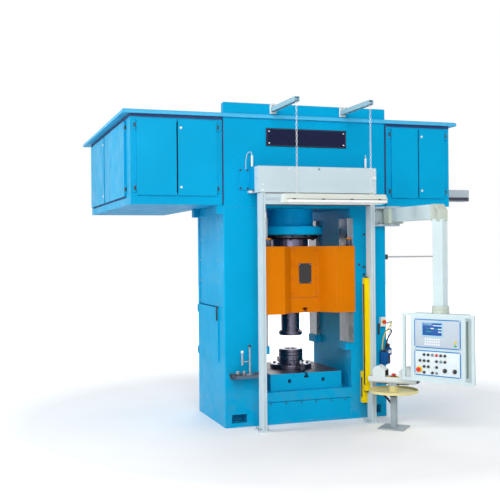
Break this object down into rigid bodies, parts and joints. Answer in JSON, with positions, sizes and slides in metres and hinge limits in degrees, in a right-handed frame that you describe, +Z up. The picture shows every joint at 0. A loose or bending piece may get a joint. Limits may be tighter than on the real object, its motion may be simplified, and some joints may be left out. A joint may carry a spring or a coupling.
{
  "type": "hydraulic press",
  "caption": "Column-frame hydraulic press with guarded front gate, roll-up shutter, hanging lamp, pendant control panel, palm-button console and roof cabinets.",
  "frame": {"origin": "on the floor under the plunger's axis", "axes": "+X to the operator's right, +Y from the front to the rear, +Z up"},
  "size_m": [3.686, 4.0283, 3.09],
  "materials": {
    "blue_paint": "semi-gloss paint",
    "roof_paint": "semi-gloss paint",
    "navy_plate": "satin paint, bare plate",
    "orange_paint": "semi-gloss paint",
    "polished_rod": "hard chrome",
    "bare_steel": "machined",
    "tool_steel": "dark, oiled",
    "gate_grey": "pale grey coating",
    "bracket_grey": "grey paint",
    "curtain_sheet": "coated sheet",
    "signal_yellow": "gloss paint",
    "lamp_paint": "pale coating",
    "zinc_chain": "zinc plated",
    "pump_grey": "grey enamel",
    "switchgear": "light grey",
    "pendant_white": "pale powder coat",
    "pendant_joint": "beige-grey coat",
    "panel_grey": "satin film",
    "stop_red": "gloss",
    "knob_black": "satin",
    "console_grey": "pale grey coat",
    "tray_yellow": "pale yellow coat",
    "box_white": "white",
    "air_blue": "blue body",
    "lead_black": "sleeve"
  },
  "bodies": {
    "frame": {"left_upright": "blue_paint", "right_upright": "blue_paint", "left_side_cover": "blue_paint", "crown": "blue_paint", "bed": "blue_paint", "bed_cover": "blue_paint", "bolster": "blue_paint", "lower_die": "tool_steel", "main_cylinder": "blue_paint", "cylinder_gland": "bare_steel", "guide_rails": "bare_steel", "roof_deck": "roof_paint", "top_housing": "blue_paint", "sign_plate": "navy_plate", "gate_posts": "gate_grey", "gate_header": "gate_grey", "gate_brackets": "bracket_grey", "light_curtains": "signal_yellow", "lamp_arms": "lamp_paint", "left_cabinet": "blue_paint", "right_cabinet": "blue_paint", "pump_unit": "pump_grey", "switchgear_plate": "switchgear", "cable_duct": "blue_paint", "pendant_bracket": "pendant_joint", "console_post": "bracket_grey", "round_tray": "tray_yellow", "console_body": "console_grey", "console_lead": "lead_black", "gauge_shelf": "bracket_grey", "gauge_stand": "bare_steel", "stop_box": "box_white", "air_service_unit": "air_blue", "hanger_rod": "bare_steel"},
    "ram": {"ram": "orange_paint", "piston_rod": "polished_rod", "upper_die": "tool_steel"},
    "shutter": {"shutter_bar": "gate_grey", "shutter_curtain": "curtain_sheet"},
    "roller": {"shutter_roller": "bare_steel"},
    "lamp": {"lamp_chains": "zinc_chain", "lamp_housing": "lamp_paint"},
    "pendant_arm": {"pendant_arm": "pendant_white"},
    "panel": {"panel_box": "pendant_white", "panel_face": "panel_grey"},
    "left_side_door": {"left_side_door": "blue_paint"},
    "left_door_a": {"left_door_a": "blue_paint"},
    "left_door_b": {"left_door_b": "blue_paint"},
    "side_door_front": {"side_door_front": "blue_paint"},
    "side_door_rear": {"side_door_rear": "blue_paint"},
    "right_door_a": {"right_door_a": "blue_paint"},
    "right_door_b": {"right_door_b": "blue_paint"},
    "panel_estop": {"panel_estop": "stop_red"},
    "selector_left": {"selector_left": "knob_black"},
    "selector_right": {"selector_right": "knob_black"},
    "palm_button_left": {"palm_button_left": "knob_black"},
    "palm_button_right": {"palm_button_right": "knob_black"},
    "console_estop": {"console_estop": "stop_red"},
    "stop_button": {"stop_button": "stop_red"}
  },
  "joints": [
    {"name": "ram_slide", "type": "slide", "parent": "frame", "child": "ram", "axis": [0, 0, 1], "range_m": [-0.11, 0.06]},
    {"name": "shutter_slide", "type": "slide", "parent": "frame", "child": "shutter", "axis": [0, 0, 1], "range_m": [-1.88, 0], "deforming": ["shutter_curtain"]},
    {"name": "roller_turn", "type": "hinge", "parent": "frame", "child": "roller", "pos_m": [0, -0.71, 2.352], "axis": [1, 0, 0], "range_deg": [0, 2168]},
    {"name": "lamp_swing", "type": "hinge", "parent": "frame", "child": "lamp", "pos_m": [0.015, -1.103, 3.033], "axis": [1, 0, 0], "range_deg": [-15, 15]},
    {"name": "left_side_door_hinge", "type": "hinge", "parent": "frame", "child": "left_side_door", "pos_m": [-0.8593, 0.444, 0.866], "axis": [0, 0, -1], "range_deg": [0, 110]},
    {"name": "left_door_a_hinge", "type": "hinge", "parent": "frame", "child": "left_door_a", "pos_m": [-1.693, -0.4893, 2.5505], "axis": [0, 0, -1], "range_deg": [0, 110]},
    {"name": "left_door_b_hinge", "type": "hinge", "parent": "frame", "child": "left_door_b", "pos_m": [-0.903, -0.4893, 2.5505], "axis": [0, 0, 1], "range_deg": [0, 110]},
    {"name": "side_door_front_hinge", "type": "hinge", "parent": "frame", "child": "side_door_front", "pos_m": [-1.7433, -0.276, 2.5505], "axis": [0, 0, 1], "range_deg": [0, 110]},
    {"name": "side_door_rear_hinge", "type": "hinge", "parent": "frame", "child": "side_door_rear", "pos_m": [-1.7433, 1.956, 2.5505], "axis": [0, 0, -1], "range_deg": [0, 110]},
    {"name": "right_door_a_hinge", "type": "hinge", "parent": "frame", "child": "right_door_a", "pos_m": [0.903, -0.4893, 2.5505], "axis": [0, 0, -1], "range_deg": [0, 110]},
    {"name": "right_door_b_hinge", "type": "hinge", "parent": "frame", "child": "right_door_b", "pos_m": [1.545, -0.4893, 2.5505], "axis": [0, 0, 1], "range_deg": [0, 110]},
    {"name": "pendant_swing", "type": "hinge", "parent": "frame", "child": "pendant_arm", "pos_m": [0.866, -0.584, 2.0175], "axis": [0, 0, 1], "range_deg": [0, 75]},
    {"name": "panel_swivel", "type": "hinge", "parent": "pendant_arm", "child": "panel", "pos_m": [0.88201, -1.46585, 1.1346], "axis": [0, 0, 1], "range_deg": [0, 80]},
    {"name": "panel_estop_press", "type": "slide", "parent": "panel", "child": "panel_estop", "axis": [-0.8387, -0.5446, 0], "range_m": [-0.006, 0], "stiffness_N_per_m": 1500, "springref_m": 0.002},
    {"name": "selector_left_turn", "type": "hinge", "parent": "panel", "child": "selector_left", "pos_m": [0.86243, -1.56883, 0.5986], "axis": [-0.8387, -0.5446, 0], "range_deg": [-45, 45]},
    {"name": "selector_right_turn", "type": "hinge", "parent": "panel", "child": "selector_right", "pos_m": [0.91417, -1.6485, 0.5986], "axis": [-0.8387, -0.5446, 0], "range_deg": [-45, 45]},
    {"name": "palm_button_left_press", "type": "slide", "parent": "frame", "child": "palm_button_left", "axis": [0, 0, 1], "range_m": [-0.008, 0], "stiffness_N_per_m": 1500, "springref_m": 0.002},
    {"name": "palm_button_right_press", "type": "slide", "parent": "frame", "child": "palm_button_right", "axis": [0, 0, 1], "range_m": [-0.008, 0], "stiffness_N_per_m": 1500, "springref_m": 0.002},
    {"name": "console_estop_press", "type": "slide", "parent": "frame", "child": "console_estop", "axis": [0, 0, 1], "range_m": [-0.006, 0], "stiffness_N_per_m": 1500, "springref_m": 0.002},
    {"name": "stop_button_press", "type": "slide", "parent": "frame", "child": "stop_button", "axis": [0, -1, 0], "range_m": [-0.005, 0], "stiffness_N_per_m": 1500, "springref_m": 0.002}
  ],
  "couplings": [
    {"joint": "roller_turn", "follows": "shutter_slide", "rad_per_m": -20.08}
  ]
}
